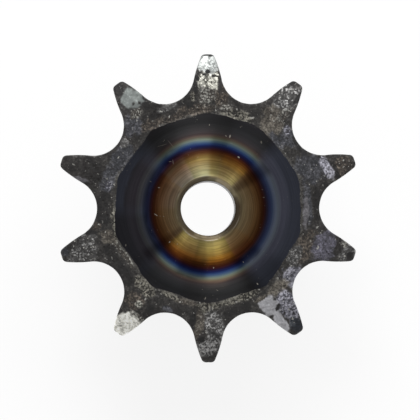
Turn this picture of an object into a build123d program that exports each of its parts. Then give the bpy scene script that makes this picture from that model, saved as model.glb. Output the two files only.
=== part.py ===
"""A ten-tooth roller-chain sprocket with a boss on its back, in one piece of steel.

Millimetres. The origin is on the bore's axis, halfway through the teeth. +Z leaves the flat
front face, the boss hangs below the teeth, and one tooth points along +Y.
"""

from build123d import *
import os
from math import acos, atan2, cos, degrees, hypot, radians, sin, sqrt

# The chain that runs on the teeth: 1/2 inch pitch
chain_pitch = 12.7
roller_diameter = 8.51

# Teeth, seen along the axis
tooth_count = 10
tip_height = 2.05  # of the tooth tips above the pitch circle
seat_radius = 4.4  # of the hollow that holds a roller, just over the roller's own
seat_angle = 120.0  # of the arc of that hollow, in degrees
flank_radius = 19.0  # of the bulging side of a tooth, above the hollow
tip_corner_radius = 0.7

# Teeth, seen from the side
tooth_width = 7.2  # fits between the inner plates of the chain
relief_radius = 13.0  # of the curve that thins a tooth towards its tip
relief_depth = 1.3  # that this curve takes off each side at the tip
edge_break = 0.15  # along the edges of the tooth gaps

# Boss on the back
hub_diameter = 26.0
overall_length = 25.0  # from the front face to the end of the boss
hub_root_radius = 1.0  # of the hollow corner between the boss and the toothed disc
hub_chamfer = 0.8

# Pilot bore, which is opened up to the size of the shaft
bore_diameter = 8.0
bore_chamfer = 0.7

# Cutting shapes reach this far past what they cut
overshoot = 1.0

# Circles of the tooth form
half_step = 180 / tooth_count
pitch_radius = chain_pitch / 2 / sin(radians(half_step))
root_radius = pitch_radius - roller_diameter / 2
outside_radius = pitch_radius + tip_height

# Heights along the axis
front_z = tooth_width / 2
back_z = -tooth_width / 2
hub_end_z = front_z - overall_length


def along(angle, length):
    """The point at this length and angle from the centre of the wheel."""
    return Vector(length * cos(radians(angle)), length * sin(radians(angle)))


# One tooth gap, opening along +X
with BuildSketch() as gap:
    seat_centre = Vector(root_radius + seat_radius, 0)
    seat_end = seat_centre + along(180 - seat_angle / 2, seat_radius)
    flank_centre = seat_centre + along(180 - seat_angle / 2, seat_radius + flank_radius)

    # The flank runs out to a circle just past the tips, where the gap is closed
    mouth_radius = outside_radius + overshoot
    centre_distance = flank_centre.length
    mouth_cosine = (centre_distance**2 + mouth_radius**2 - flank_radius**2) / (
        2 * centre_distance * mouth_radius
    )
    centre_angle = degrees(atan2(flank_centre.Y, flank_centre.X))
    mouth_end = along(centre_angle - degrees(acos(mouth_cosine)), mouth_radius)

    with BuildLine():
        seat = ThreePointArc((seat_end.X, -seat_end.Y), (root_radius, 0), seat_end)
        flank = TangentArc(seat @ 1, mouth_end, tangent=seat % 1)
        mirror(flank, about=Plane.XZ)
        ThreePointArc((mouth_end.X, -mouth_end.Y), (mouth_radius, 0), mouth_end)
    make_face()


def is_gap_edge(edge):
    """Whether an edge bounds the side of a tooth gap on the front or the back of the disc."""
    middle = edge @ 0.5
    from_axis = hypot(middle.X, middle.Y)
    return from_axis > root_radius - edge_break and not edge.geom_type == GeomType.LINE


with BuildPart() as sprocket:
    # Toothed disc, at its full width
    with BuildSketch(Plane.XY.offset(back_z)) as outline:
        Circle(outside_radius)
        with PolarLocations(0, tooth_count, start_angle=90 + half_step):
            add(gap.sketch, mode=Mode.SUBTRACT)
        tips = outline.vertices().group_by(lambda v: round(hypot(v.X, v.Y), 3))[-1]
        fillet(tips, tip_corner_radius)
    extrude(amount=tooth_width)

    # The disc's turned section, which thins the teeth on both sides
    with BuildSketch(Plane.XZ):
        relief_start = outside_radius - sqrt(
            relief_radius**2 - (relief_radius - relief_depth) ** 2
        )
        blank_radius = outside_radius + overshoot
        blank_relief = relief_radius - sqrt(
            relief_radius**2 - (blank_radius - relief_start) ** 2
        )
        with BuildLine():
            Line((0, front_z), (relief_start, front_z))
            front_curve = TangentArc(
                (relief_start, front_z), (blank_radius, front_z - blank_relief), tangent=(1, 0)
            )
            back_curve = TangentArc(
                (relief_start, back_z), (blank_radius, back_z + blank_relief), tangent=(1, 0)
            )
            Line(front_curve @ 1, back_curve @ 1)
            Line((relief_start, back_z), (0, back_z))
            Line((0, back_z), (0, front_z))
        make_face()
    revolve(axis=Axis.Z, mode=Mode.INTERSECT)

    # Broken edges round the teeth
    chamfer(sprocket.edges().filter_by(is_gap_edge), edge_break)

    # Boss, with a hollow corner where it leaves the disc
    with BuildSketch(Plane.XY.offset(back_z)):
        Circle(hub_diameter / 2)
    extrude(amount=hub_end_z - back_z)
    hub_root = sprocket.edges().filter_by(GeomType.CIRCLE).filter_by(
        lambda e: abs(e.radius - hub_diameter / 2) < 1e-6
    )
    fillet(hub_root.sort_by(Axis.Z)[-1], hub_root_radius)
    chamfer(sprocket.faces().sort_by(Axis.Z)[0].edges(), hub_chamfer)

    # Bore, with a countersunk edge at each end
    Hole(bore_diameter / 2)
    bore_edges = sprocket.edges().filter_by(GeomType.CIRCLE).filter_by(
        lambda e: abs(e.radius - bore_diameter / 2) < 1e-6
    )
    chamfer(bore_edges, bore_chamfer)

sprocket.part.label = "sprocket"

os.makedirs("parts", exist_ok=True)
export_step(sprocket.part, "parts/sprocket.step")
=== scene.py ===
"""Looks of the chain sprocket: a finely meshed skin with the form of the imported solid, its turned,
heat-tinted and scaled steel, a pale floor, soft studio light and the camera.

Sizes are in millimetres, and MM turns them into metres. The front face looks along +Z.
"""

import itertools

import bpy
import numpy as np
from mathutils import Matrix, Vector, geometry, kdtree


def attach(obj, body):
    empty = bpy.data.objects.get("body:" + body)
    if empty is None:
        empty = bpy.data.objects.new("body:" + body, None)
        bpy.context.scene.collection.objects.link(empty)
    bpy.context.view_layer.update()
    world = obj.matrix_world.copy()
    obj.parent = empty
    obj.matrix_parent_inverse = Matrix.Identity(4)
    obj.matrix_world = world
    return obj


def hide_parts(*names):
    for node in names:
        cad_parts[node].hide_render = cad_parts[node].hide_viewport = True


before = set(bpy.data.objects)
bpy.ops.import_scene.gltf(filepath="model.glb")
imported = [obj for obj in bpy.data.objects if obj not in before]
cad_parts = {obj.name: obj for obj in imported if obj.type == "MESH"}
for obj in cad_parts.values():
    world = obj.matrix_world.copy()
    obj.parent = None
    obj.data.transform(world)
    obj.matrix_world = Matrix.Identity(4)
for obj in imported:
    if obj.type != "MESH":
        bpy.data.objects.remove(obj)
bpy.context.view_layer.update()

MM = 0.001
SEED = 7

# The sizes of the form, as the solid has them
CHAIN_PITCH = 12.7
ROLLER_DIAMETER = 8.51
TOOTH_COUNT = 10
TIP_HEIGHT = 2.05
SEAT_RADIUS = 4.4
SEAT_ANGLE = np.radians(120)
FLANK_RADIUS = 19.0
TIP_CORNER_RADIUS = 0.7
TOOTH_WIDTH = 7.2
RELIEF_RADIUS = 13.0
RELIEF_DEPTH = 1.3
EDGE_BREAK = 0.15
HUB_RADIUS = 13.0
OVERALL_LENGTH = 25.0
HUB_ROOT_RADIUS = 1.0
HUB_CHAMFER = 0.8
BORE_RADIUS = 4.0
BORE_CHAMFER = 0.7

TOLERANCE = 0.01

HALF_STEP = np.pi / TOOTH_COUNT
PITCH_RADIUS = CHAIN_PITCH / 2 / np.sin(HALF_STEP)
ROOT_RADIUS = PITCH_RADIUS - ROLLER_DIAMETER / 2
OUTSIDE_RADIUS = PITCH_RADIUS + TIP_HEIGHT
RELIEF_START = OUTSIDE_RADIUS - np.sqrt(RELIEF_RADIUS**2 - (RELIEF_RADIUS - RELIEF_DEPTH) ** 2)
FRONT_Z = TOOTH_WIDTH / 2
BACK_Z = -FRONT_Z
HUB_END_Z = FRONT_Z - OVERALL_LENGTH

# The turned face ends in a blunt ten-sided line, with a flat before each gap and a corner at each tooth
TURNED_FLAT = 13.5
TURNED_CORNER = 14.1
TURNED_SOFTNESS = 0.22

# Points along the arcs of the tooth form, and round the whole outline
ARC_POINTS = 60
CORNER_POINTS = 12
TIP_POINTS = 10
OUTLINE_POINTS = 1000

# Spacing of the mesh, and the least of it beside a rim, as a share. The turned face has its close
# rows, as shares of the way in, along its edge, and every second column inside them. The profile has
# the bore's columns up to a radius
FRONT_SPACING = 0.165
BACK_SPACING = 0.26
LEAST_SPACING = 0.6
MERGE_DISTANCE = 1e-7
CLOSE_ROWS = (0.012, 0.04, 0.07)
TURNED_ROWS = 24
TURNED_COLUMNS = 500
HUB_COLUMNS = 280
BORE_COLUMNS = 140
BORE_COLUMNS_END = 6.0
WALL_ROWS = 16
PROFILE_SPACING = 0.9
PROFILE_ROUNDING = 0.08
SHARP_BEND_POINTS = 3
WIDE_BEND_POINTS = 9
EDGE_ROUNDING = 0.3 * EDGE_BREAK

# Places on the square texture: middle and width of the flat faces, and reach of the strips
FRONT_MAP = ((0.33, 0.67), 0.65)
BACK_MAP = ((0.83, 0.83), 0.33)
WALL_MAP = (0.005, 0.08)
TURNED_MAP = (0.09, 0.33)

# Layers of noise, each with its height, width and number after the seed, for the edge of the turned
# face, the edges of the rim's patches and the reach of the heat
EDGE_WAVES = ((0.2, 3.0, 9), (0.1, 1.1, 0), (0.05, 0.4, 1))
PATCH_WAVES = ((0.24, 1.1, 5), (0.22, 0.45, 6))
HEAT_WAVES = ((0.12, 4.0, 8),)
LATTICE_VALUES = 8192
LATTICE_STEPS = (73, 911, 3571)

# Relief of the scale: its least depth, the depth and width of hills, grain and pits, the values of
# noise between which pits set in, the distances from the turned edge over which it all sets in, and
# how much of it the back has
SCALE_DEPTH = 0.02
HILLS = (0.02, 1.3)
GRAIN = (0.012, 0.34)
PITS = (0.045, 0.55)
PITS_BEGIN = (0.35, 0.75)
SCALE_BEGIN = (0.05, 0.35)
BACK_SHARE = 0.8

# Nicks along the edges of the teeth: least and greatest radius, depth as a share of it, and the
# shares of it over which they fade
NICK_COUNT = 90
NICK_RADII = (0.12, 0.4)
NICK_DEPTHS = (0.15, 0.3)
NICK_FADE = (1, 0.2)

# Finishes, as material slots of the skin
TURNED, SCALED, CUT, PLAIN = range(4)

# Distance between the rings that the tool left on the turned faces, fine and broad, and how often
# they change along their way round
RING_PITCH = 0.21
BROAD_RING_PITCH = 1.05
RING_CHANGES = 1.2

# Heat tints of the turned face, from the bore outwards: radius and sRGB colour
HEAT_TINTS = (
    (4.0, (108, 98, 82)), (4.5, (112, 102, 84)), (4.62, (132, 120, 94)), (4.8, (158, 144, 112)),
    (5.2, (151, 132, 99)), (5.6, (149, 128, 95)), (6.2, (142, 117, 83)), (6.7, (133, 104, 70)),
    (7.0, (122, 91, 58)), (7.4, (108, 76, 46)), (7.7, (93, 60, 35)), (8.0, (78, 46, 27)),
    (8.25, (68, 35, 25)), (8.5, (54, 27, 30)), (8.8, (30, 23, 45)), (9.1, (26, 33, 73)),
    (9.4, (47, 66, 104)), (9.7, (76, 94, 108)), (9.95, (101, 112, 104)), (10.25, (92, 89, 77)),
    (10.5, (80, 68, 63)), (10.8, (59, 52, 52)), (11.1, (56, 53, 54)), (11.5, (46, 45, 46)),
    (12.0, (40, 40, 41)), (12.6, (32, 32, 33)), (13.8, (35, 34, 36)),
)

# Painted shade: tints on the left and right, where the bands hardly show: radius and sRGB colour
SHADED_TINTS = (
    (8.2, (74, 48, 44)), (8.5, (60, 48, 58)), (8.8, (51, 53, 79)), (9.1, (61, 68, 103)),
    (9.4, (75, 88, 119)), (9.8, (113, 123, 145)), (10.2, (119, 127, 139)), (10.8, (92, 93, 108)),
    (11.5, (85, 87, 101)), (12.2, (70, 73, 85)), (13.8, (65, 68, 79)),
)

# Sectors with these shaded tints: azimuth from and to, and how softly they begin and end
SHADED_SIDES = ((304, 402, 6), (138, 220, 10))

# Radii over which they set in
SIDE_BEGIN = (8.1, 8.7)

# Radius from and to of the gold ring, of the edge of the countersink and of the countersink
GOLD = (4.75, 8.7)
COUNTERSINK_EDGE = (4.55, 4.85)
COUNTERSINK = (3.8, 4.55)

# Fans of painted light and shade, as the turned rings throw the lamps back: azimuth from and to, how
# softly they begin and end, radius from and to, and what the tint there is multiplied by
FANS = (
    # Gold inner part
    (43, 73, 2, *GOLD, (0.95, 1.0, 0.75)), (73, 88, 4, *GOLD, (0.8, 0.9, 0.67)),
    (88, 103, 4, *GOLD, (1.05, 1.32, 1.27)), (103, 116, 3, *GOLD, (0.9, 1.1, 1.1)),
    (116, 142, 3, *GOLD, (1.45, 1.6, 2.2)), (142, 180, 6, *GOLD, (1.0, 0.95, 1.15)),
    (180, 221, 4, *GOLD, (0.9, 0.85, 0.85)), (221, 254, 2, *GOLD, (1.0, 1.0, 0.65)),
    (254, 278, 2, *GOLD, (0.77, 0.82, 0.52)), (278, 299, 2, *GOLD, (0.9, 0.95, 0.58)),
    (299, 325, 3, *GOLD, (1.05, 0.95, 0.85)),
    # Dark and bright wedges in it
    (29, 40, 4, 4.75, 10.6, (0.56, 0.53, 0.55)), (43, 54, 3, 4.75, 8.0, (1.45, 1.5, 1.5)),
    (61, 73, 4, *GOLD, (0.78, 0.75, 0.78)), (213, 222, 4, 4.75, 11.6, (0.6, 0.58, 0.6)),
    (223, 235, 3, 4.75, 7.9, (1.35, 1.4, 1.35)), (242, 258, 4, 5.6, 7.7, (0.72, 0.7, 0.72)),
    (242, 268, 4, 7.7, 10.5, (0.5, 0.5, 0.55)), (267, 287, 3, 5.6, 7.8, (1.25, 1.3, 1.2)),
    (270, 298, 4, 7.2, 8.2, (1.3, 1.1, 0.75)), (270, 298, 4, 8.2, 8.9, (0.75, 0.7, 0.75)),
    (142, 149, 3, 4.75, 8.0, (1.3, 1.35, 1.35)),
    # Its outer half
    (43, 73, 3, 6.9, 8.5, (1.45, 1.4, 1.1)), (223, 262, 3, 7.2, 8.2, (1.2, 1.0, 0.85)),
    (76, 103, 3, 7.2, 7.9, (1.2, 1.3, 1.35)), (88, 116, 3, 7.0, 7.9, (1.15, 1.2, 1.0)),
    (116, 142, 4, 7.5, 8.6, (1.0, 1.3, 1.4)), (299, 322, 4, 7.2, 8.3, (0.85, 0.75, 0.85)),
    # Blue ring and what lies outside it
    (73, 87, 3, 9.2, 10.7, (0.7, 0.7, 0.65)), (86, 100, 4, 9.2, 10.1, (1.35, 1.3, 1.1)),
    (88, 103, 3, 8.6, 9.2, (0.8, 1.3, 1.4)), (103, 116, 3, 8.6, 9.2, (1.3, 1.8, 1.6)),
    (117, 128, 5, 8.9, 9.8, (2.4, 2.1, 1.5)), (297, 322, 5, 8.7, 9.9, (0.45, 0.45, 0.5)),
    (299, 324, 5, 11.2, 14.6, (0.7, 0.7, 0.7)), (142, 182, 7, 9.0, 12.4, (0.6, 0.52, 0.46)),
    (142, 182, 7, 12.4, 14.6, (0.85, 0.85, 0.85)), (182, 222, 7, 9.0, 14.6, (0.5, 0.45, 0.4)),
    (262, 292, 4, 10.2, 10.9, (1.3, 1.22, 1.1)),
    # Dark outer part
    (43, 73, 3, 10.9, 14.6, (1.25, 1.25, 1.3)), (86, 104, 4, 10.7, 12.3, (1.15, 1.1, 1.1)),
    (117, 136, 4, 11.9, 14.6, (1.35, 1.35, 1.35)), (221, 254, 5, 11.2, 14.6, (1.12, 1.15, 1.2)),
    (268, 284, 4, 10.6, 12.0, (1.3, 1.25, 1.15)),
    # Painted highlight and shade on the edge of the countersink, and on the countersink of the bore
    (43, 88, 4, *COUNTERSINK_EDGE, (1.7, 1.65, 1.6)), (225, 298, 6, *COUNTERSINK_EDGE, (0.62, 0.58, 0.55)),
    (320, 372, 8, *COUNTERSINK_EDGE, (0.5, 0.45, 0.45)), (43, 73, 4, *COUNTERSINK, (3.2, 3.3, 3.3)),
    (73, 90, 4, *COUNTERSINK, (1.5, 1.6, 1.5)), (221, 242, 4, *COUNTERSINK, (0.7, 0.65, 0.6)),
    (244, 266, 5, *COUNTERSINK, (1.6, 1.6, 1.5)), (24, 42, 4, *COUNTERSINK, (2.2, 2.3, 2.2)),
    (310, 372, 6, *COUNTERSINK, (0.8, 0.75, 0.75)),
)

# Half the width over which they begin and end along the radius
FAN_EDGE = 0.15

# How much further out the heat reached along one line through the axis, towards one side of it and
# all round, and the radii over which that sets in
HEAT_AZIMUTH = 97
HEAT_STRETCH = 0.16
HEAT_SIDE = 270
HEAT_SHIFT = 0.08
HEAT_REACH = 0.06
HEAT_BEGIN = (6.0, 9.2)

# Surfaces of the rim: light and dark sRGB colour, and how speckled with both it is
SILVER = ((250, 249, 240), (198, 197, 188), 0.5)
SATIN = ((182, 185, 183), (146, 150, 148), 0.2)
CREAM = ((188, 187, 177), (92, 91, 84), 1.0)
PALE = ((150, 149, 143), (62, 58, 54), 1.0)
GREY = ((150, 149, 148), (62, 61, 60), 0.9)
FROST = ((124, 122, 126), (80, 78, 82), 0.4)
OLIVE = ((114, 109, 101), (62, 57, 52), 0.7)
BROWN = ((104, 96, 88), (44, 40, 37), 0.8)
TAN = ((124, 121, 112), (42, 40, 37), 1.0)
CHARCOAL = ((76, 74, 72), (36, 34, 33), 0.5)
# Darkest scale, also used as painted shade in the gap hollows and as a painted shadow
SHADE_AND_DARK_SCALE = ((54, 52, 51), (28, 27, 27), 0.35)
SLATE = ((98, 98, 103), (46, 47, 51), 0.7)
VIOLET = ((112, 110, 122), (60, 59, 66), 0.65)
LILAC = ((162, 161, 171), (58, 58, 65), 0.9)
BLUE_BLACK = ((104, 108, 114), (30, 33, 39), 0.5)
BARE_GREY = ((146, 152, 149), (116, 121, 119), 0.15)
BARE_LILAC = ((182, 182, 186), (156, 155, 158), 0.12)

# What the rim is where no patch lies
BASE_METAL = CHARCOAL
BASE_SPECKLE = 0.6
BASE_SHARE = 0.4

# Worn line along the turned edge, partly a painted highlight of that edge: its middle outside that edge,
# how far from the middle it fades, the width of the breaks in it, the values of noise between which it
# sets in, and what it adds to the light share and to the lightness
WORN_LINE = 0.12
WORN_LINE_FADE = (0.45, 0.1)
WORN_LINE_BREAKS = 3.0
WORN_LINE_BEGIN = (-0.3, 0.3)
WORN_LINE_SHARE = 0.3
WORN_LINE_LIGHT = 0.15

# Painted shade in the hollows of the tooth gaps: distance from the outline and radius over which it
# fades, and what it takes from the speckle and from the light share
HOLLOW_FADE = (0.9, 0.2)
HOLLOW_END = (18.0, 17.0)
HOLLOW_SPECKLE = 0.5
HOLLOW_SHARE = 0.12

# Softness of a patch's edge, as a share of its reach, and how much its speckle adds to that
PATCH_SOFTNESS = 0.08
SPECKLED_SOFTNESS = 0.14

# Patches of the rim's front, one over the other: azimuth and radius of the middle, reach outwards and
# sideways, metal, share of it that is light, and for some the turn from the radius in degrees. The dark
# patches in the tooth gaps are painted shade of their hollows
PATCHES = (
    # Top tooth, bright bare steel, with a painted highlight where its relief faces the lamps above
    (96, 14.6, 0.9, 2.8, BROWN, 0.5), (84, 16.5, 1.6, 1.0, BROWN, 0.45),
    (99, 16.5, 1.5, 0.9, SHADE_AND_DARK_SCALE, 0.3), (91, 16.4, 1.6, 1.4, PALE, 0.45),
    (97.5, 16.6, 1.0, 0.45, TAN, 0.55), (82, 16.8, 1.6, 0.7, BROWN, 0.4),
    (90, 18.9, 1.6, 1.9, CREAM, 0.65), (90, 21.4, 1.4, 2.4, SATIN, 0.6),
    (96, 17.9, 1.2, 0.4, SHADE_AND_DARK_SCALE, 0.2), (94.7, 19.2, 0.5, 0.35, SHADE_AND_DARK_SCALE, 0.1),
    (90, 20.0, 0.28, 0.3, SHADE_AND_DARK_SCALE, 0.0), (91.6, 19.6, 0.15, 0.35, SHADE_AND_DARK_SCALE, 0.0, -15),
    (92.6, 20.1, 0.1, 0.25, CHARCOAL, 0.3), (87.3, 19.4, 0.14, 0.3, SHADE_AND_DARK_SCALE, 0.2),
    (84.5, 18.6, 1.6, 0.25, CHARCOAL, 0.3, 3), (90, 22.5, 0.2, 1.2, SHADE_AND_DARK_SCALE, 0.25),
    # Gap to the right of it, with a gravelly band along the turned edge
    (72, 14.2, 0.8, 2.6, TAN, 0.5), (68, 15.9, 0.5, 2.2, CHARCOAL, 0.35),
    (80, 14.9, 0.5, 0.8, PALE, 0.4),
    # Tooth at 54 degrees
    (53, 15.1, 1.6, 1.8, OLIVE, 0.6), (55, 16.9, 1.4, 1.6, OLIVE, 0.55),
    (51, 17.9, 1.5, 0.8, PALE, 0.35), (55, 20.2, 2.4, 2.0, GREY, 0.38),
    (56, 22.1, 0.4, 0.7, SHADE_AND_DARK_SCALE, 0.2), (50.5, 20.8, 1.1, 0.35, SHADE_AND_DARK_SCALE, 0.25),
    # Gap at 36 degrees
    (40, 15.8, 1.6, 1.6, SLATE, 0.35), (44, 14.1, 0.6, 1.6, SLATE, 0.4),
    (44, 16.3, 0.6, 0.7, LILAC, 0.4), (34, 16.2, 0.5, 1.8, SHADE_AND_DARK_SCALE, 0.25),
    # Tooth at 18 degrees, with a bright band across it and a painted shadow beside it
    (21, 16.1, 2.2, 2.4, SLATE, 0.4), (16, 20.8, 1.7, 1.8, BROWN, 0.4),
    (17, 19.3, 0.4, 1.3, SHADE_AND_DARK_SCALE, 0.2, 10), (19, 18.3, 0.65, 1.8, LILAC, 0.7, 10),
    (11, 17.3, 0.9, 0.5, SHADE_AND_DARK_SCALE, 0.25),
    # Gap on the right
    (1, 14.6, 0.7, 3.2, SLATE, 0.5), (3, 15.9, 0.6, 2.4, SHADE_AND_DARK_SCALE, 0.35),
    (357, 14.3, 0.45, 2.6, FROST, 0.55),
    # Tooth at 342 degrees
    (338, 15.2, 1.3, 2.2, BROWN, 0.5), (347, 15.7, 0.9, 0.5, BROWN, 0.3),
    (341.5, 18.1, 2.0, 2.3, VIOLET, 0.5), (343, 21.1, 1.6, 1.7, GREY, 0.38),
    (343, 19.9, 0.5, 1.3, CHARCOAL, 0.25), (345, 20.6, 0.5, 0.6, PALE, 0.6),
    (341, 21.9, 0.5, 0.7, SHADE_AND_DARK_SCALE, 0.2),
    # Gap at 324 degrees
    (321, 15.9, 1.6, 1.6, LILAC, 0.58), (331, 14.4, 0.9, 1.6, GREY, 0.35),
    (322, 16.4, 0.5, 1.2, LILAC, 0.8),
    # Tooth at 306 degrees, with bare patches and a black tip
    (311, 15.5, 1.0, 1.8, OLIVE, 0.6), (309, 18.6, 2.4, 1.9, LILAC, 0.6),
    (301.3, 16.9, 1.5, 1.5, BARE_LILAC, 0.6), (302.6, 19.6, 2.0, 0.9, BARE_LILAC, 0.5, -6),
    (305.0, 17.7, 0.25, 0.6, SHADE_AND_DARK_SCALE, 0.1, 30), (300, 15.3, 0.3, 0.9, OLIVE, 0.5),
    (307, 21.4, 1.1, 0.9, BLUE_BLACK, 0.1),
    # Gap at 288 degrees
    (289, 13.9, 0.6, 3.4, TAN, 0.55), (287, 15.5, 0.7, 2.2, SHADE_AND_DARK_SCALE, 0.25),
    # Bottom tooth
    (269, 14.5, 0.8, 1.8, TAN, 0.5), (265, 17.2, 2.0, 0.9, OLIVE, 0.4),
    (273, 18.0, 3.0, 1.4, GREY, 0.43), (262, 16.4, 1.2, 0.5, SHADE_AND_DARK_SCALE, 0.25),
    (269, 20.5, 1.5, 1.4, GREY, 0.62), (267, 19.2, 0.5, 0.5, SHADE_AND_DARK_SCALE, 0.15),
    (270, 22.1, 0.5, 1.2, CHARCOAL, 0.45),
    # Gap at 252 degrees
    (254, 15.4, 0.8, 2.2, CHARCOAL, 0.25), (248, 15.9, 0.4, 0.9, SLATE, 0.55),
    (256, 14.1, 0.5, 1.4, OLIVE, 0.35), (246, 13.9, 0.4, 1.6, TAN, 0.5),
    # Tooth at 234 degrees, with a bright tip
    (228, 14.7, 0.9, 1.2, TAN, 0.6), (234, 15.1, 0.9, 1.1, TAN, 0.5),
    (231, 17.2, 1.3, 1.3, BROWN, 0.45), (234, 17.3, 0.5, 0.5, CREAM, 0.5),
    (240, 17.8, 1.7, 0.6, SHADE_AND_DARK_SCALE, 0.25), (236, 19.2, 0.7, 1.4, PALE, 0.6),
    (235, 21.2, 1.9, 2.2, SILVER, 0.9),
    # Gap at 216 degrees, smooth and dark with painted shade, with a gravelly ridge along the turned edge
    (216, 15.7, 1.0, 2.6, SHADE_AND_DARK_SCALE, 0.3), (204, 14.3, 0.35, 1.5, PALE, 0.28, 8),
    (213, 13.9, 0.35, 1.6, PALE, 0.22),
    # Tooth at 198 degrees
    (192, 18.4, 1.8, 0.6, SHADE_AND_DARK_SCALE, 0.3), (196, 15.3, 1.2, 1.2, OLIVE, 0.45),
    (204.5, 15.8, 0.9, 1.6, SHADE_AND_DARK_SCALE, 0.4), (198, 18.9, 2.0, 1.9, GREY, 0.25),
    (200, 20.6, 1.4, 1.2, GREY, 0.38), (196.5, 21.9, 0.7, 0.8, SLATE, 0.3),
    # Gap on the left
    (180, 15.3, 1.0, 3.2, SHADE_AND_DARK_SCALE, 0.25), (187, 13.9, 0.45, 2.4, TAN, 0.35),
    (189, 16.5, 0.8, 0.6, BROWN, 0.45),
    # Tooth at 162 degrees
    (164, 15.3, 1.2, 2.0, SLATE, 0.45), (163, 18.0, 1.8, 2.0, SHADE_AND_DARK_SCALE, 0.5),
    (164, 21.0, 1.6, 1.7, CHARCOAL, 0.35), (167, 15.0, 0.5, 0.7, LILAC, 0.4),
    (167.3, 19.9, 1.9, 0.45, FROST, 0.45, 4),
    # Gap at 144 degrees
    (149, 14.5, 1.4, 2.2, SLATE, 0.3), (142, 15.6, 0.7, 0.8, GREY, 0.5),
    (136, 15.9, 0.7, 0.7, SLATE, 0.5),
    # Tooth at 126 degrees, with a bare patch behind a dark tip
    (131, 16.4, 1.6, 1.3, SLATE, 0.45), (123, 14.8, 1.0, 1.8, BROWN, 0.45),
    (119, 15.7, 0.7, 1.1, SHADE_AND_DARK_SCALE, 0.6), (127, 17.4, 0.7, 1.0, PALE, 0.38),
    (121, 18.0, 1.3, 0.5, SHADE_AND_DARK_SCALE, 0.2), (124.6, 19.5, 1.6, 1.5, BARE_GREY, 0.2),
    (125.5, 18.8, 0.2, 0.3, CHARCOAL, 0.3, 30), (123.0, 18.4, 0.3, 0.25, SHADE_AND_DARK_SCALE, 0.3),
    (127.5, 21.8, 1.0, 0.9, SHADE_AND_DARK_SCALE, 0.4),
    # Gap at 108 degrees
    (110, 14.1, 0.6, 2.2, BROWN, 0.3), (106, 16.0, 0.5, 1.4, SHADE_AND_DARK_SCALE, 0.35),
    (112, 15.9, 0.5, 1.5, GREY, 0.3),
)

# Nicks and scratches of the turned face: azimuth, radius, half length, half width, turn, brightness
MARKS = (
    (73, 11.0, 0.26, 0.1, 5, 0.8), (76, 10.9, 0.16, 0.08, 60, 0.5), (59, 8.7, 0.2, 0.1, 80, 0.8),
    (51, 12.4, 0.24, 0.12, 50, 0.3), (89, 12.2, 0.14, 0.06, 0, 0.6), (127, 8.5, 0.4, 0.05, 150, 0.5),
    (129, 8.8, 0.24, 0.05, 60, 0.5), (126, 11.4, 0.9, 0.04, 70, 0.25), (120, 10.9, 0.8, 0.04, 10, 0.25),
    (187, 7.7, 0.36, 0.06, 140, 0.8), (157, 7.8, 0.2, 0.08, 20, 0.6), (221, 7.5, 0.14, 0.07, 0, 0.9),
    (303, 9.4, 0.12, 0.06, 0, 0.7), (303, 13.2, 0.18, 0.1, 0, 0.7), (268, 13.2, 0.24, 0.05, 160, 0.6),
    (204, 13.2, 0.2, 0.08, 60, 0.5),
)

# Radius of the worn line inside the turned face
WORN_RADIUS = BORE_RADIUS + BORE_CHAMFER + 0.03

# sRGB colours of dust and nicks, of black pits, bright chips and specks of rust
MARK_COLOUR = (168, 162, 150)
PIT_COLOUR = (34, 32, 31)
CHIP_COLOUR = (176, 174, 168)
RUST_COLOUR = (70, 48, 34)

# Floor: half width in metres, gap below the boss, linear colour under lamps and where it is seen,
# the glow that makes it white there, the glow under the boss, and the radii between both glows
FLOOR_REACH = 3.0
FLOOR_GAP = 0.02
FLOOR_COLOUR = (0.8, 0.8, 0.8)
FLOOR_SEEN_COLOUR = (0.19, 0.19, 0.19)
FLOOR_GLOW = 0.83
BORE_GLOW = 0.97
BORE_GLOW_EDGE = (6.0, 11.0)

# Lamps: name, azimuths and strength, with the elevations and the distance in metres of them all
LAMPS = (
    ("key_right", (46, 72), 3.4),
    ("key_middle", (76, 88), 3.0),
    ("key_left", (88, 114), 7.4),
)
LAMP_ELEVATIONS = (28, 60)
LAMP_DISTANCE = 0.6

# The band of height over which the white walls fade to the dim ceiling, as sines
WALL_TOP = (0.35, 0.75)
CEILING_GREY = 0.25

# Camera: lens and places in millimetres, and the nearest and furthest that it sees in metres
CAMERA_LENS = 586.0
CAMERA_CLIP = (0.01, 20)
CAMERA_PLACE = (-5.655, -5.795, 1003.6)
CAMERA_TARGET = (0.271, -0.252, 3.6)
CAMERA_UP = (0.0026, 1, 0)


def at_angle(angle):
    """Unit arrows at these angles, as complex numbers x + iy."""
    return np.exp(1j * np.asarray(angle))


def across(points):
    """Places of points across the axis, as complex numbers x + iy."""
    return points[:, 0] + 1j * points[:, 1]


def lifted(line, height):
    """Points at complex places x + iy, at a height."""
    return np.column_stack([line.real, line.imag, np.broadcast_to(height, line.shape)])


def lengths_along(line):
    """Length of a line up to each of its points."""
    return np.concatenate([[0], np.cumsum(abs(np.diff(line)))])


def arc(centre, radius, start, end, count):
    """Points along an arc, from one angle to another."""
    return centre + radius * at_angle(np.linspace(start, end, count))


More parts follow.
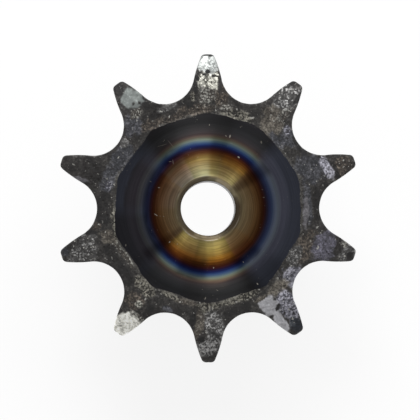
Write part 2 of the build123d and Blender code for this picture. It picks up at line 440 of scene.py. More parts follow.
def wheel_outline():
    """Points round the toothed disc, evenly spaced and counter-clockwise."""
    half_seat = SEAT_ANGLE / 2
    seat_centre = ROOT_RADIUS + SEAT_RADIUS
    seat = arc(seat_centre, SEAT_RADIUS, np.pi, np.pi - half_seat, ARC_POINTS)

    # The rounded corner touches the flank and the tip circle from inside
    flank_centre = seat_centre + (SEAT_RADIUS + FLANK_RADIUS) * at_angle(np.pi - half_seat)
    to_flank, to_axis = FLANK_RADIUS - TIP_CORNER_RADIUS, OUTSIDE_RADIUS - TIP_CORNER_RADIUS
    distance = abs(flank_centre)
    turn = np.arccos((distance**2 + to_axis**2 - to_flank**2) / (2 * distance * to_axis))
    corner_centre = to_axis * at_angle(np.angle(flank_centre) - turn)
    flank_end = np.angle(corner_centre - flank_centre)
    corner_end = np.angle(corner_centre)
    flank = arc(flank_centre, FLANK_RADIUS, -half_seat, flank_end, ARC_POINTS)
    corner = arc(corner_centre, TIP_CORNER_RADIUS, flank_end, corner_end, CORNER_POINTS)
    land = arc(0, OUTSIDE_RADIUS, corner_end, HALF_STEP, TIP_POINTS)

    half_gap = np.concatenate([seat, flank[1:], corner[1:], land[1:]])
    gap = np.concatenate([np.conj(half_gap[::-1]), half_gap[1:-1]])
    first_gap = np.pi / 2 + HALF_STEP
    turns = at_angle(first_gap + 2 * HALF_STEP * np.arange(TOOTH_COUNT))
    line = (turns[:, None] * gap).ravel()
    closed = np.append(line, line[0])
    along = lengths_along(closed)
    places = np.linspace(0, along[-1], OUTLINE_POINTS, endpoint=False)
    return np.interp(places, along, closed.real) + 1j * np.interp(places, along, closed.imag)


def outward(line):
    """Unit arrows that point out of a counter-clockwise closed line, at each of its points."""
    ahead = np.roll(line, -1) - np.roll(line, 1)
    return -1j * ahead / abs(ahead)


def relief(radius):
    """How far the side of the disc falls back at this radius."""
    beyond = np.maximum(radius - RELIEF_START, 0)
    return RELIEF_RADIUS - np.sqrt(RELIEF_RADIUS**2 - beyond**2)


def turned_edge(angle):
    """Radius at which the turned face ends: straight at each gap, and rounded at each tooth."""
    from_gap = (angle - np.pi / 2) % (2 * HALF_STEP) - HALF_STEP
    straight = TURNED_FLAT / np.cos(from_gap)
    both = np.exp(-straight / TURNED_SOFTNESS) + np.exp(-TURNED_CORNER / TURNED_SOFTNESS)
    return -TURNED_SOFTNESS * np.log(both)


def lattice_noise(points, cell, seed):
    """Smooth noise from -1 to 1 at each point, with features about one cell wide."""
    values = np.random.default_rng(seed).uniform(-1, 1, LATTICE_VALUES)
    low = np.floor(points / cell).astype(np.int64)
    part = points / cell - low
    part = part * part * (3 - 2 * part)
    total = np.zeros(len(points))
    for corner in itertools.product((0, 1), repeat=3):
        share = np.prod(np.where(corner, part, 1 - part), axis=1)
        total += share * values[((low + corner) @ np.array(LATTICE_STEPS)) % len(values)]
    return total


def layered_noise(points, layers):
    """Sum of smooth noises at each point."""
    return sum(height * lattice_noise(points, width, SEED + extra) for height, width, extra in layers)


def smooth_step(low, high, value):
    """0 below low, 1 above high, and a smooth rise between."""
    part = np.clip((value - low) / (high - low), 0, 1)
    return part * part * (3 - 2 * part)


class Skin:
    """The points and faces of the mesh, gathered by walking once round its section.

    Every ring of points runs counter-clockwise seen from the front. The walk goes from the edge of
    the turned face inwards, down the bore, over the end of the boss, up its side, out over the back
    of the disc, up the sides of the teeth and over their front to where it began.
    """

    def __init__(self):
        self.points = np.zeros((0, 3))
        self.patches = []

    def ring(self, line, height):
        """Adds points at complex places x + iy, and returns their numbers."""
        self.points = np.vstack([self.points, lifted(line, height)])
        return np.arange(len(self.points) - len(line), len(self.points))

    def add(self, corners, finish, places):
        """Adds faces as rows of point numbers, with each corner's place on the texture map."""
        self.patches.append((np.asarray(corners), finish, np.asarray(places)))

    def grow(self, before, line, height, finish, chart, ways=(0.0, 0.0)):
        """Adds a ring, joins it to the one before with faces, and returns its numbers.

        Along a strip of the map, ways says where each of both rings lies.
        """
        after = self.ring(line, height)
        counts = len(before), len(after)
        if counts[0] == counts[1]:
            step = np.arange(counts[0])
            steps = np.column_stack([step, step + 1, step + 1, step])
            on_after = np.broadcast_to([False, False, True, True], steps.shape)
        else:
            # The ring whose next point comes sooner round the turn moves on
            turns = np.concatenate([(np.arange(count) + 0.5) / count for count in counts])
            moves_after = np.repeat([False, True], counts)[np.argsort(turns, kind="stable")]
            gone_before = np.concatenate([[0], np.cumsum(~moves_after)])
            gone_after = np.concatenate([[0], np.cumsum(moves_after)])
            moved = np.where(moves_after, gone_after[1:], gone_before[1:])
            steps = np.column_stack([gone_before[:-1], moved, gone_after[:-1]])
            never, always = np.zeros_like(moves_after), np.ones_like(moves_after)
            on_after = np.column_stack([never, moves_after, always])
        corners = np.where(on_after, after[steps % counts[1]], before[steps % counts[0]])
        turn = steps / np.where(on_after, counts[1], counts[0])
        way = np.where(on_after, ways[1], ways[0])
        self.add(corners, finish, chart(self.points[corners], turn, way))
        return after

    def fill(self, outer, inner, spacing, height, facing, finish, chart):
        """Fills the flat space between two rings with even triangles, at a height for each radius."""
        rims = [across(self.points[ring]) for ring in (outer, inner)]

        def between(places):
            angle = np.angle(places)
            low, high = radius_at(rims[1], angle), radius_at(rims[0], angle)
            return (abs(places) > low) & (abs(places) < high)

        reach = abs(rims[0]).max()
        rows = np.arange(-reach, reach, spacing * np.sqrt(3) / 2)
        columns = np.arange(-reach, reach, spacing)
        shift = np.where(np.arange(len(rows)) % 2, 0, spacing / 2)
        grid = (columns[None, :] + shift[:, None] + 1j * rows[:, None]).ravel()
        grid = grid[between(grid)]
        grid = grid[clearance(grid, np.concatenate(rims)) > LEAST_SPACING * spacing]
        added = self.ring(grid, height(abs(grid)))

        flat = np.concatenate([*rims, grid])
        numbers = np.concatenate([outer, inner, added])
        loops = ((0, len(outer)), (len(outer), len(inner)))
        edges = [(first + k, first + (k + 1) % count) for first, count in loops for k in range(count)]
        places = [Vector((place.real, place.imag)) for place in flat]
        found = geometry.delaunay_2d_cdt(places, edges, [], 1, MERGE_DISTANCE)
        triangles = np.array([old[0] for old in found[3]])[np.array(found[2])]
        triangles = triangles[between(flat[triangles].mean(axis=1))][:, ::facing]
        corners = numbers[triangles]
        self.add(corners, finish, chart(self.points[corners], None, None))

    def normals(self):
        """Unit arrows out of the surface at each point."""
        total = np.zeros_like(self.points)
        for corners, _, _ in self.patches:
            places = self.points[corners]
            arrow = np.cross(places[:, 2] - places[:, 0], places[:, -1] - places[:, 1])
            for column in corners.T:
                np.add.at(total, column, arrow)
        return total / np.linalg.norm(total, axis=1, keepdims=True)


def radius_at(rim, angle):
    """Radius of a closed line round the axis, at each of these angles."""
    order = np.argsort(np.angle(rim))
    return np.interp(angle, np.angle(rim)[order], abs(rim)[order], period=2 * np.pi)


def clearance(places, rim):
    """Distance from each place to the nearest point of a line."""
    tree = kdtree.KDTree(len(rim))
    for number, point in enumerate(rim):
        tree.insert((point.real, point.imag, 0), number)
    tree.balance()
    return np.array([tree.find((place.real, place.imag, 0))[2] for place in places])


def disc_chart(centre, size):
    """A map of a flat face, seen square on, into a square of the texture."""
    return lambda points, turn, way: np.asarray(centre) + points[..., :2] / (2 * OUTSIDE_RADIUS) * size


def strip_chart(low, high):
    """A map of what runs round the axis into a strip across the whole texture."""
    return lambda points, turn, way: np.stack([turn, low + (high - low) * way], axis=-1)


def rounded(corners, columns):
    """Radius, height, columns and share of the way along a turned profile.

    Its corners are (radius, z) or (radius, z, rounding).
    """
    flat = [complex(*corner[:2]) for corner in corners]
    line = [flat[0]]
    for k in range(1, len(flat) - 1):
        before = (flat[k - 1] - flat[k]) / abs(flat[k - 1] - flat[k])
        after = (flat[k + 1] - flat[k]) / abs(flat[k + 1] - flat[k])
        half = np.angle(after / before) / 2
        rounding = (*corners[k], PROFILE_ROUNDING)[2]
        trim = rounding / abs(np.tan(half))
        middle = flat[k] + (before + after) / abs(before + after) * rounding / abs(np.sin(half))
        first, last = flat[k] + before * trim - middle, flat[k] + after * trim - middle
        count = SHARP_BEND_POINTS if rounding == PROFILE_ROUNDING else WIDE_BEND_POINTS
        turns = np.linspace(0, np.angle(last / first), count)
        bend = list(middle + first * at_angle(turns))
        gap = abs(bend[0] - line[-1])
        rows = max(1, int(np.ceil(gap / PROFILE_SPACING)))
        line += [line[-1] + (bend[0] - line[-1]) * step / rows for step in range(1, rows)]
        line += bend
    line.append(flat[-1])
    radii = np.real(line)
    ways = lengths_along(line) / lengths_along(line)[-1]
    return zip(radii, np.imag(line), np.where(radii < BORE_COLUMNS_END, *columns), ways)


def build_skin():
    """The whole surface of the sprocket, watertight, before its fine relief."""
    skin = Skin()
    top = np.pi / 2
    front_map = disc_chart(*FRONT_MAP)
    back_map = disc_chart(*BACK_MAP)
    wall_map = strip_chart(*WALL_MAP)
    turned_map = strip_chart(*TURNED_MAP)

    # Turned face, from its edge to the countersink of the bore
    turns = top + 2 * np.pi * np.arange(TURNED_COLUMNS) / TURNED_COLUMNS
    edge = turned_edge(turns)
    edge = edge + layered_noise(lifted(edge * at_angle(turns), 0), EDGE_WAVES)
    inner = BORE_RADIUS + BORE_CHAMFER + PROFILE_ROUNDING
    rim = ring = skin.ring(edge * at_angle(turns), FRONT_Z)
    for share in (*CLOSE_ROWS, *np.linspace(CLOSE_ROWS[-1], 1, TURNED_ROWS)[1:]):
        step = 1 if share in CLOSE_ROWS else 2
        line = (edge + (inner - edge) * share)[::step] * at_angle(turns[::step])
        ring = skin.grow(ring, line, FRONT_Z, TURNED, front_map)

    # Bore, end of the boss and its side, out to the back of the disc, from the last ring on
    profile = rounded(
        [
            (inner, FRONT_Z),
            (BORE_RADIUS + BORE_CHAMFER, FRONT_Z),
            (BORE_RADIUS, FRONT_Z - BORE_CHAMFER),
            (BORE_RADIUS, HUB_END_Z + BORE_CHAMFER),
            (BORE_RADIUS + BORE_CHAMFER, HUB_END_Z),
            (HUB_RADIUS - HUB_CHAMFER, HUB_END_Z),
            (HUB_RADIUS, HUB_END_Z + HUB_CHAMFER),
            (HUB_RADIUS, BACK_Z, HUB_ROOT_RADIUS),
            (HUB_RADIUS + HUB_ROOT_RADIUS + PROFILE_ROUNDING, BACK_Z),
        ],
        (BORE_COLUMNS, HUB_COLUMNS),
    )
    way_before = next(profile)[-1]
    for radius, height, columns, way in profile:
        turns = top + 2 * np.pi * np.arange(columns) / columns
        line = radius * at_angle(turns)
        finish = TURNED if height > FRONT_Z - BORE_CHAMFER else PLAIN
        ring = skin.grow(ring, line, height, finish, turned_map, (way_before, way))
        way_before = way

    # Back of the disc, sides of the teeth and their front, with softly broken edges
    outline = wheel_outline()
    away = outward(outline)
    rims = []
    for inset, drop in ((EDGE_BREAK, 0), (EDGE_ROUNDING, EDGE_ROUNDING), (0, EDGE_BREAK)):
        line = outline - inset * away
        rims.append((line, FRONT_Z - relief(abs(line)) - drop))
    back_edge = skin.ring(rims[0][0], -rims[0][1])
    skin.fill(back_edge, ring, BACK_SPACING, lambda r: BACK_Z + relief(r), -1, SCALED, back_map)
    ring = back_edge
    for line, height in rims[1:]:
        ring = skin.grow(ring, line, -height, SCALED, back_map)
    for row in range(1, WALL_ROWS + 1):
        height = rims[-1][1] * (2 * row / WALL_ROWS - 1)
        ring = skin.grow(ring, outline, height, CUT, wall_map, ((row - 1) / WALL_ROWS, row / WALL_ROWS))
    for line, height in rims[-2::-1]:
        ring = skin.grow(ring, line, height, SCALED, front_map)
    skin.fill(ring, rim, FRONT_SPACING, lambda r: FRONT_Z - relief(r), 1, SCALED, front_map)
    return skin, outline


def roughen(skin, outline):
    """Gives the scale its pits and shallow hills, and the tooth edges their nicks."""
    points = skin.points
    flat = across(points)
    from_turned = abs(flat) - turned_edge(np.angle(flat))
    on_disc = (abs(points[:, 2]) < FRONT_Z + TOLERANCE) & (abs(flat) > HUB_RADIUS + HUB_ROOT_RADIUS)
    front = points[:, 2] > FRONT_Z - RELIEF_DEPTH - 2 * EDGE_BREAK
    scaled = np.where(front, smooth_step(*SCALE_BEGIN, from_turned), on_disc * BACK_SHARE)
    scaled = np.where(on_disc | front & (from_turned > 0), scaled, 0)

    hills = 0.5 + 0.5 * lattice_noise(points, HILLS[1], SEED + 2)
    grain = lattice_noise(points, GRAIN[1], SEED + 3)
    pits = smooth_step(*PITS_BEGIN, lattice_noise(points, PITS[1], SEED + 4))
    depth = SCALE_DEPTH + HILLS[0] * hills + GRAIN[0] * grain + PITS[0] * pits
    moved = -skin.normals() * (scaled * depth)[:, None]

    # Nicks along the edges of the teeth
    chance = np.random.default_rng(SEED)
    for _ in range(NICK_COUNT):
        at = outline[chance.integers(len(outline))]
        size = chance.uniform(*NICK_RADII)
        side = chance.choice((-1, 1))
        height = side * (FRONT_Z - relief(abs(at)))
        gap = np.hypot(abs(flat - at), points[:, 2] - height)
        inwards = -np.array([at.real / abs(at), at.imag / abs(at), side])
        bite = chance.uniform(*NICK_DEPTHS) * size * smooth_step(*NICK_FADE, gap / size)
        moved += bite[:, None] * inwards * (gap < size)[:, None]
    skin.points = points + moved


def paint(skin, outline):
    """Values of the rim at each point: bare share, speckle, light colour and dark colour."""
    points = skin.points
    flat = across(points)
    ragged = layered_noise(points, PATCH_WAVES)
    light, dark = (np.tile(colour, (len(points), 1)).astype(float) for colour in BASE_METAL[:2])
    speckle = np.full(len(points), BASE_SPECKLE)
    share = np.full(len(points), BASE_SHARE)
    for azimuth, radius, out, side, metal, bare, *turn in PATCHES:
        metal_light, metal_dark, metal_speckle = metal
        centre = radius * at_angle(np.radians(azimuth))
        local = (flat - centre) / at_angle(np.radians(azimuth + sum(turn)))
        far = np.hypot(local.real / out, local.imag / side) + ragged
        soft = PATCH_SOFTNESS + SPECKLED_SOFTNESS * metal_speckle
        weight = smooth_step(1 + soft, 1 - soft, far)
        light += weight[:, None] * (np.array(metal_light) - light)
        dark += weight[:, None] * (np.array(metal_dark) - dark)
        speckle += weight * (metal_speckle - speckle)
        share += weight * (bare - share)

    # A worn line along the edge of the turned face, partly a painted highlight of that edge, in some
    # places only
    from_turned = abs(flat) - turned_edge(np.angle(flat))
    worn_highlight = smooth_step(*WORN_LINE_FADE, abs(from_turned - WORN_LINE))
    worn_highlight *= smooth_step(*WORN_LINE_BEGIN, lattice_noise(points, WORN_LINE_BREAKS, SEED + 7))
    share += worn_highlight * WORN_LINE_SHARE
    light += WORN_LINE_LIGHT * worn_highlight[:, None] * (np.array(PALE[0]) - light)

    # Painted shade in the hollows of the tooth gaps: less speckle and a smaller light share
    hollow_shade = smooth_step(*HOLLOW_FADE, clearance(flat, outline)) * smooth_step(*HOLLOW_END, abs(flat))
    speckle *= 1 - HOLLOW_SPECKLE * hollow_shade
    share -= HOLLOW_SHARE * hollow_shade
    return {"share": share, "speckle": speckle, "light": linear(light), "dark": linear(dark)}


def linear(colour):
    """Linear light of an sRGB colour from 0 to 255."""
    colour = np.asarray(colour, float) / 255
    return np.where(colour < 0.04045, colour / 12.92, ((colour + 0.055) / 1.055) ** 2.4)


def sector(angle, start, end, soft):
    """1 within a range of azimuths in degrees, 0 outside, and soft between."""
    off = abs((angle - (start + end) / 2 + 180) % 360 - 180)
    half = (end - start) / 2
    return smooth_step(half + soft, half - soft, off)


def fan_light_and_shade(points):
    """Painted light and shade of the turned face: what its tint is multiplied by at each point, in fans
    from side to side.
    """
    flat = across(points)
    angle, radius = np.degrees(np.angle(flat)), abs(flat)
    result = np.ones((len(points), 3))
    for start, end, soft, low, high, colour in FANS:
        weight = sector(angle, start, end, soft)
        weight *= smooth_step(low - FAN_EDGE, low + FAN_EDGE, radius)
        weight *= smooth_step(high + FAN_EDGE, high - FAN_EDGE, radius)
        result += weight[:, None] * (np.array(colour) - 1) * result
    return result


def shaded_side_share(points):
    """How far each point has the painted shade of the left and right tints."""
    flat = across(points)
    share = sum(sector(np.degrees(np.angle(flat)), *side) for side in SHADED_SIDES)
    return share * smooth_step(*SIDE_BEGIN, abs(flat))


def tint_radius(points):
    """Radius whose heat tint each point has."""
    flat = across(points)
    further = HEAT_STRETCH * np.cos(2 * (np.angle(flat) - np.radians(HEAT_AZIMUTH)))
    further += HEAT_SHIFT * np.cos(np.angle(flat) - np.radians(HEAT_SIDE))
    further += layered_noise(points, HEAT_WAVES) + HEAT_REACH
    return abs(flat) - further * smooth_step(*HEAT_BEGIN, abs(flat))


def to_scene(name, data):
    """Adds an object to the scene."""
    thing = bpy.data.objects.new(name, data)
    bpy.context.scene.collection.objects.link(thing)
    return thing


def to_object(skin, values):
    """Makes the mesh of the skin, with its map, its finishes and its values at each point."""
    corners, finishes, places = zip(*skin.patches)
    counts = [len(rows) for rows in corners]
    sizes = np.repeat([rows.shape[1] for rows in corners], counts)
    loops = np.concatenate([rows.ravel() for rows in corners])

    mesh = bpy.data.meshes.new("sprocket_skin")
    mesh.vertices.add(len(skin.points))
    mesh.vertices.foreach_set("co", (skin.points * MM).ravel())
    mesh.loops.add(len(loops))
    mesh.loops.foreach_set("vertex_index", loops)
    mesh.polygons.add(len(sizes))
    mesh.polygons.foreach_set("loop_start", np.concatenate([[0], np.cumsum(sizes)[:-1]]))
    mesh.polygons.foreach_set("loop_total", sizes)
    mesh.polygons.foreach_set("material_index", np.repeat(finishes, counts))
    mesh.polygons.foreach_set("use_smooth", np.ones(len(sizes), bool))
    mesh.update(calc_edges=True)
    mesh.validate()
    map_places = np.concatenate([place.ravel() for place in places])
    mesh.uv_layers.new(name="OFBake").data.foreach_set("uv", map_places)
    for name, value in values.items():
        if value.ndim == 1:
            mesh.attributes.new(name, "FLOAT", "POINT").data.foreach_set("value", value)
        else:
            full = np.column_stack([value, np.ones(len(value))])
            mesh.attributes.new(name, "FLOAT_COLOR", "POINT").data.foreach_set("color", full.ravel())

    return to_scene("sprocket_skin", mesh)


class Nodes:
    """The node tree of a new material or world, with short calls for what they share."""

    def __init__(self, owner):
        self.owner = owner
        owner.use_nodes = True
        self.tree = owner.node_tree

    def put(self, value, socket):
        """Links a socket to another, or sets it to a value."""
        if isinstance(value, bpy.types.NodeSocket):
            self.tree.links.new(value, socket)
        elif socket.type == "RGBA":
            socket.default_value = (*value, 1)
        else:
            socket.default_value = value

    def add(self, kind, inputs=(), **settings):
        """Adds a node, with settings by name and inputs by number or name."""
        node = self.tree.nodes.new("ShaderNode" + kind)
        for name, value in settings.items():
            setattr(node, name, value)
        for key, value in dict(inputs).items():
            self.put(value, node.inputs[key])
        return node

    def shade(self, **sockets):
        """Sets the sockets of the material's shader, and returns the material."""
        inputs = self.tree.nodes["Principled BSDF"].inputs
        for name, value in sockets.items():
            self.put(value, inputs[name.replace("_", " ").title().replace("Ior", "IOR")])
        return self.owner

    def math(self, operation, first, second=0.0):
        return self.add("Math", {0: first, 1: second}, operation=operation).outputs[0]

    def plus(self, first, second):
        return self.math("ADD", first, second)

    def times(self, first, second):
        return self.math("MULTIPLY", first, second)

    def total(self, *parts):
        """Sum of values, each times its share."""
        result, *others = [self.times(value, share) for value, share in parts]
        for other in others:
            result = self.plus(result, other)
        return result

    def vector(self, operation, first, second=(0.0, 0.0, 0.0)):
        return self.add("VectorMath", {0: first, 1: second}, operation=operation).outputs[0]

    def length(self, arrow):
        return self.add("VectorMath", {0: arrow}, operation="LENGTH").outputs["Value"]

    def range(self, value, low, high, new_low=0.0, new_high=1.0):
        """A smooth change from one new value to the other, as a value goes from low to high."""
        sockets = {0: value, 1: low, 2: high, 3: new_low, 4: new_high}
        return self.add("MapRange", sockets, interpolation_type="SMOOTHSTEP").outputs[0]

    def mix(self, share, first, second, blend="MIX"):
        """Mixes two colours."""
        node = self.add("Mix", data_type="RGBA", blend_type=blend, clamp_factor=True)
        for key, value in ((0, share), (6, first), (7, second)):
            self.put(value, node.inputs[key])
        return node.outputs[2]

    def tinted(self, colour, tint):
        """A colour multiplied by another."""
        return self.mix(1.0, colour, tint, "MULTIPLY")

    def shaded(self, colour, value):
        """A colour multiplied by a number."""
        return self.tinted(colour, self.add("CombineColor", {0: value, 1: value, 2: value}).outputs[0])

    def attribute(self, name, output="Fac"):
        return self.add("Attribute", attribute_name=name).outputs[output]

    def millimetres(self):
        """Places on the piece, in millimetres."""
        place = self.add("TexCoord").outputs["Object"]
        return self.vector("MULTIPLY", place, (1 / MM, 1 / MM, 1 / MM))

    def from_axis(self, place):
        """The arrow from the axis to a place, and its length."""
        level = self.vector("MULTIPLY", place, (1, 1, 0))
        return level, self.length(level)

    def noise(self, place, size, detail=2.0, roughness=0.5, shift=None):
        """Noise from 0 to 1 with features about as wide as size, in the units of place."""
        if shift:
            place = self.vector("ADD", place, shift)
        sockets = {"Vector": place, "Scale": 1 / size, "Detail": detail, "Roughness": roughness}
        return self.add("TexNoise", sockets).outputs[0]

    def ramp(self, value, stops):
        """A colour that changes with a value, from stops of place and sRGB colour."""
        node = self.add("ValToRGB", {0: value})
        band = node.color_ramp.elements
        while len(band) < len(stops):
            band.new(0.5)
        for element, (place, colour) in zip(band, stops):
            element.position = place
            element.color = (*linear(colour), 1)
        return node.outputs[0]

    def bump(self, height, distance, strength=1.0):
        """The surface's arrow, tilted by a height whose full step is a distance in millimetres."""
        sockets = {"Height": height, "Distance": distance * MM, "Strength": strength}
        return self.add("Bump", sockets).outputs[0]


def turned_face():
    """Faced steel with fine rings round the bore, tinted by heat from the bore outwards."""
    nodes = Nodes(bpy.data.materials.new("turned_face"))
    place = nodes.millimetres()
    level, radius = nodes.from_axis(place)

    # Tints of the heat, which reached a little further out in some places than in others
    heat = nodes.attribute("tint_radius")
    first, last = HEAT_TINTS[0][0], HEAT_TINTS[-1][0]

    def bands(value, tints):
        stops = [((r - first) / (last - first), colour) for r, colour in tints]
        return nodes.ramp(nodes.add("MapRange", {0: value, 1: first, 2: last}).outputs[0], stops)

    # Painted shade: on the left and right the tints give way to their shaded copies
    tint = nodes.mix(nodes.attribute("shaded_side_share"), bands(heat, HEAT_TINTS), bands(radius, SHADED_TINTS))
    # The tint is multiplied by the painted fans of light and shade
    tint = nodes.tinted(tint, nodes.attribute("fan_light_and_shade", "Color"))

    # Rings of the cutting tool, each a little different along its way round
    way = nodes.vector("NORMALIZE", level)
    spin = nodes.vector("MULTIPLY", way, (RING_CHANGES, RING_CHANGES, 0))
    lift = nodes.add("CombineXYZ", {2: nodes.math("DIVIDE", radius, RING_PITCH)}).outputs[0]
    slow_lift = nodes.vector("MULTIPLY", lift, (0, 0, RING_PITCH / BROAD_RING_PITCH))
    rings = nodes.noise(nodes.vector("ADD", spin, lift), 1.0, 2)
    broad = nodes.noise(nodes.vector("ADD", spin, slow_lift), 1.0, 1)
    contrast = nodes.range(heat, 7.8, 9.5, 1.0, 0.4)
    swing = nodes.range(rings, 0.3, 0.7, -0.2, 0.2)
    swing = nodes.plus(swing, nodes.range(broad, 0.3, 0.7, -0.06, 0.06))
    colour = nodes.shaded(tint, nodes.plus(nodes.times(swing, contrast), 0.96))

    # Small nicks and dust
    dust = nodes.range(nodes.noise(place, 0.42, 2, 0.6), 0.70, 0.76)
    patchy = nodes.range(nodes.noise(place, 3.5, 1), 0.45, 0.6)
    marks = nodes.times(nodes.times(dust, patchy), 0.5)
    for azimuth, out, length, width, turn, strength in MARKS:
        centre = out * at_angle(np.radians(azimuth))
        placing = {"Vector": place, "Location": (centre.real, centre.imag, FRONT_Z)}
        placing |= {"Rotation": (0, 0, np.radians(azimuth + turn)), "Scale": (length, width, 1)}
        far = nodes.length(nodes.add("Mapping", placing, vector_type="TEXTURE").outputs[0])
        marks = nodes.math("MAXIMUM", marks, nodes.range(far, 0.6, 1.1, strength, 0.0))

    # Worn line where the face meets the countersink
    gap = nodes.math("ABSOLUTE", nodes.math("SUBTRACT", radius, WORN_RADIUS))
    here = nodes.range(nodes.noise(place, 2.4, 1), 0.45, 0.65, 0.0, 0.5)
    marks = nodes.math("MAXIMUM", marks, nodes.times(nodes.range(gap, 0.02, 0.1, 1, 0), here))

    bare_metal = nodes.range(heat, 10.2, 12.0, 1.0, 0.85)
    return nodes.shade(
        base_color=nodes.mix(marks, colour, linear(MARK_COLOUR)),
        metallic=nodes.times(nodes.range(marks, 0, 1, 1.0, 0.5), bare_metal),
        roughness=nodes.range(broad, 0.2, 0.8, 0.32, 0.40),
        anisotropic=1.0,
        anisotropic_rotation=0.25,
        tangent=nodes.add("Tangent", direction_type="RADIAL", axis="Z").outputs[0],
        normal=nodes.bump(rings, 0.01, contrast),
    )


def scaled_rim():
    """Black scale and bare steel in specks, whose share and two colours are painted on the mesh."""
    nodes = Nodes(bpy.data.materials.new("scaled_rim"))
    place = nodes.millimetres()
    speckle = nodes.attribute("speckle")
    dark, light = nodes.attribute("dark", "Color"), nodes.attribute("light", "Color")
    specks = nodes.noise(place, 0.36, 1.5, 0.6)
    clumps = nodes.noise(place, 1.2, 3, 0.6)
    both = nodes.total((specks, 0.65), (clumps, 0.35))
    more = nodes.times(nodes.math("SUBTRACT", nodes.attribute("share"), 0.5), 0.32)
    bare = nodes.range(nodes.plus(both, more), 0.47, 0.53)

    # Where it is speckled, flecks and pits stand out, and elsewhere the two colours blend
    flecks = nodes.range(nodes.noise(place, 0.7, 2, shift=(31.0, 7.0, 0.0)), 0.3, 0.7, 0.7, 1.4)
    rough = nodes.mix(bare, dark, nodes.shaded(light, flecks))
    even = nodes.mix(nodes.range(nodes.plus(clumps, more), 0.3, 0.7), dark, light)
    grain = nodes.range(nodes.noise(place, 0.3, 1, shift=(0.0, 19.0, 0.0)), 0.25, 0.75, -1, 1)
    change = nodes.plus(1.0, nodes.times(grain, nodes.times(speckle, 0.6)))
    broad = nodes.range(nodes.noise(place, 2.6, 2), 0.3, 0.7, 0.84, 1.16)
    colour = nodes.shaded(nodes.mix(speckle, even, rough), nodes.times(change, broad))

    # Black pits and bright chips
    pits = nodes.range(nodes.noise(place, 0.6, 2, 0.6, (0.0, 53.0, 0.0)), 0.63, 0.67)
    pits = nodes.times(pits, nodes.range(speckle, 0.1, 0.8, 0.1, 0.85))
    colour = nodes.mix(pits, colour, linear(PIT_COLOUR))
    chips = nodes.range(nodes.noise(place, 0.45, 1.5, 0.6, (0.0, 0.0, 17.0)), 0.68, 0.71)
    chips = nodes.times(chips, nodes.range(speckle, 0.1, 0.8, 0.1, 0.75))
    return nodes.shade(
        base_color=nodes.mix(chips, colour, linear(CHIP_COLOUR)),
        metallic=nodes.range(bare, 0, 1, 0.2, 0.6),
        roughness=nodes.range(bare, 0, 1, 0.6, 0.42),
        specular_ior_level=0.4,
        normal=nodes.bump(both, 0.05),
    )


def cut_flanks():
    """The milled sides of the tooth gaps, darkened, with fine lines across the disc's width."""
    nodes = Nodes(bpy.data.materials.new("cut_flanks"))
    place = nodes.millimetres()
    lines = nodes.noise(nodes.vector("MULTIPLY", place, (1, 1, 0.06)), 0.22, 2)
    stains = nodes.noise(place, 1.6, 3, 0.6)
    shade = nodes.total((lines, 0.5), (stains, 0.5))
    return nodes.shade(
        base_color=nodes.ramp(shade, ((0.3, (42, 40, 39)), (0.5, (62, 59, 57)), (0.68, (88, 85, 82)))),
        metallic=0.6,
        roughness=nodes.range(stains, 0.3, 0.7, 0.36, 0.55),
        normal=nodes.bump(shade, 0.03),
    )


def turned_boss():
    """Turned steel under a thin dark oxide, with fine rings round the axis."""
    nodes = Nodes(bpy.data.materials.new("turned_boss"))
    place = nodes.millimetres()
    radius = nodes.from_axis(place)[1]
    height = nodes.add("SeparateXYZ", {0: place}).outputs[2]
    section = nodes.add("CombineXYZ", {0: radius, 1: height}).outputs[0]
    rings = nodes.noise(section, RING_PITCH, 1)
    broad = nodes.noise(section, 1.6, 2)
    stains = nodes.noise(place, 6.0, 3, 0.5)
    shade = nodes.total((rings, 0.4), (broad, 0.25), (stains, 0.35))
    colour = nodes.ramp(shade, ((0.35, (66, 64, 63)), (0.5, (92, 89, 86)), (0.65, (120, 117, 113))))
    rust = nodes.range(nodes.noise(place, 0.6, 3, 0.6), 0.66, 0.76)
    return nodes.shade(
        base_color=nodes.mix(nodes.times(rust, 0.6), colour, linear(RUST_COLOUR)),
        metallic=nodes.range(rust, 0, 1, 0.9, 0.3),
        roughness=nodes.range(stains, 0.3, 0.7, 0.3, 0.4),
        normal=nodes.bump(rings, 0.01),
    )


def pale_floor():
    """A white floor that stays white to the camera and in reflections, and keeps a soft shadow."""
    mesh = bpy.data.meshes.new("floor")
    height = (HUB_END_Z - FLOOR_GAP) * MM
    corners = [(x * FLOOR_REACH, y * FLOOR_REACH, height) for x, y in ((-1, -1), (1, -1), (1, 1), (-1, 1))]
    mesh.from_pydata(corners, [], [(0, 1, 2, 3)])
    nodes = Nodes(bpy.data.materials.new("floor"))
    path = nodes.add("LightPath")
    seen = nodes.math("MAXIMUM", path.outputs["Is Camera Ray"], path.outputs["Is Glossy Ray"])
    seen = nodes.math("MAXIMUM", seen, path.outputs["Is Transmission Ray"])

    # Under the boss the floor is brighter, so that it is as white through the bore as all round
    radius = nodes.from_axis(nodes.millimetres())[1]
    glow = nodes.range(radius, *BORE_GLOW_EDGE, BORE_GLOW, FLOOR_GLOW)
    material = nodes.shade(
        base_color=nodes.mix(seen, FLOOR_COLOUR, FLOOR_SEEN_COLOUR),
        roughness=0.9,
        specular_ior_level=0.0,
        emission_color=(1.0, 1.0, 1.0),
        emission_strength=nodes.times(seen, glow),
    )
    mesh.materials.append(material)
    to_scene("floor", mesh)


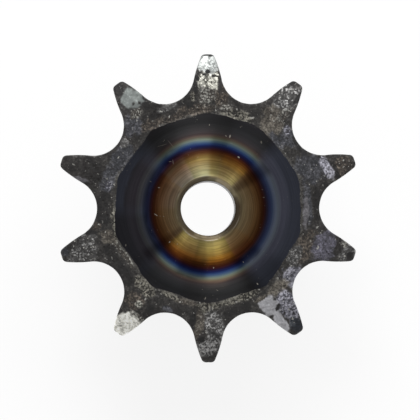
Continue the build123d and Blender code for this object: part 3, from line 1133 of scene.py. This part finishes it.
def softbox(name, azimuths, strength):
    """A soft rectangular lamp that looks at the part, and fills a range of azimuths and elevations."""
    azimuth, elevation = np.radians(np.mean(azimuths)), np.radians(np.mean(LAMP_ELEVATIONS))
    width = (azimuths[1] - azimuths[0]) * np.cos(elevation)
    size = (width, LAMP_ELEVATIONS[1] - LAMP_ELEVATIONS[0])
    level = at_angle(azimuth) * np.cos(elevation)
    way = Vector((level.real, level.imag, np.sin(elevation)))
    lamp = bpy.data.lights.new(name, "AREA")
    lamp.shape = "RECTANGLE"
    lamp.size, lamp.size_y = (2 * LAMP_DISTANCE * np.tan(np.radians(angle) / 2) for angle in size)
    lamp.energy = strength * np.pi * lamp.size * lamp.size_y
    box = to_scene(name, lamp)
    box.location = way * LAMP_DISTANCE
    box.rotation_euler = way.to_track_quat("Z", "Y").to_euler()
    box.visible_camera = False


def studio_world():
    """A room that is white low down all round, and dim grey overhead."""
    world = bpy.data.worlds.new("studio")
    bpy.context.scene.world = world
    nodes = Nodes(world)
    way = nodes.add("TexCoord").outputs["Generated"]
    height = nodes.add("SeparateXYZ", {0: way}).outputs["Z"]
    grey = nodes.range(height, *WALL_TOP, 1.0, CEILING_GREY)
    nodes.put(grey, nodes.tree.nodes["Background"].inputs["Color"])


def photo_camera():
    """A camera above the front face, a little down and left of the axis, as in the photograph."""
    camera = bpy.data.cameras.new("camera")
    camera.lens = CAMERA_LENS
    camera.clip_start, camera.clip_end = CAMERA_CLIP
    eye = to_scene("camera", camera)
    eye.location = Vector(CAMERA_PLACE) * MM
    target = Vector(CAMERA_TARGET) * MM
    away = (eye.location - target).normalized()
    right = Vector(CAMERA_UP).cross(away).normalized()
    eye.rotation_euler = Matrix((right, away.cross(right), away)).transposed().to_euler()
    bpy.context.scene.camera = eye


skin, outline = build_skin()
roughen(skin, outline)
values = {
    **paint(skin, outline),
    "tint_radius": tint_radius(skin.points),
    "shaded_side_share": shaded_side_share(skin.points),
    "fan_light_and_shade": fan_light_and_shade(skin.points),
}
piece = to_object(skin, values)
for make in (turned_face, scaled_rim, cut_flanks, turned_boss):
    piece.data.materials.append(make())
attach(piece, "root")
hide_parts("sprocket")

pale_floor()
studio_world()
for lamp in LAMPS:
    softbox(*lamp)
photo_camera()

view = bpy.context.scene.view_settings
view.view_transform = "Standard"
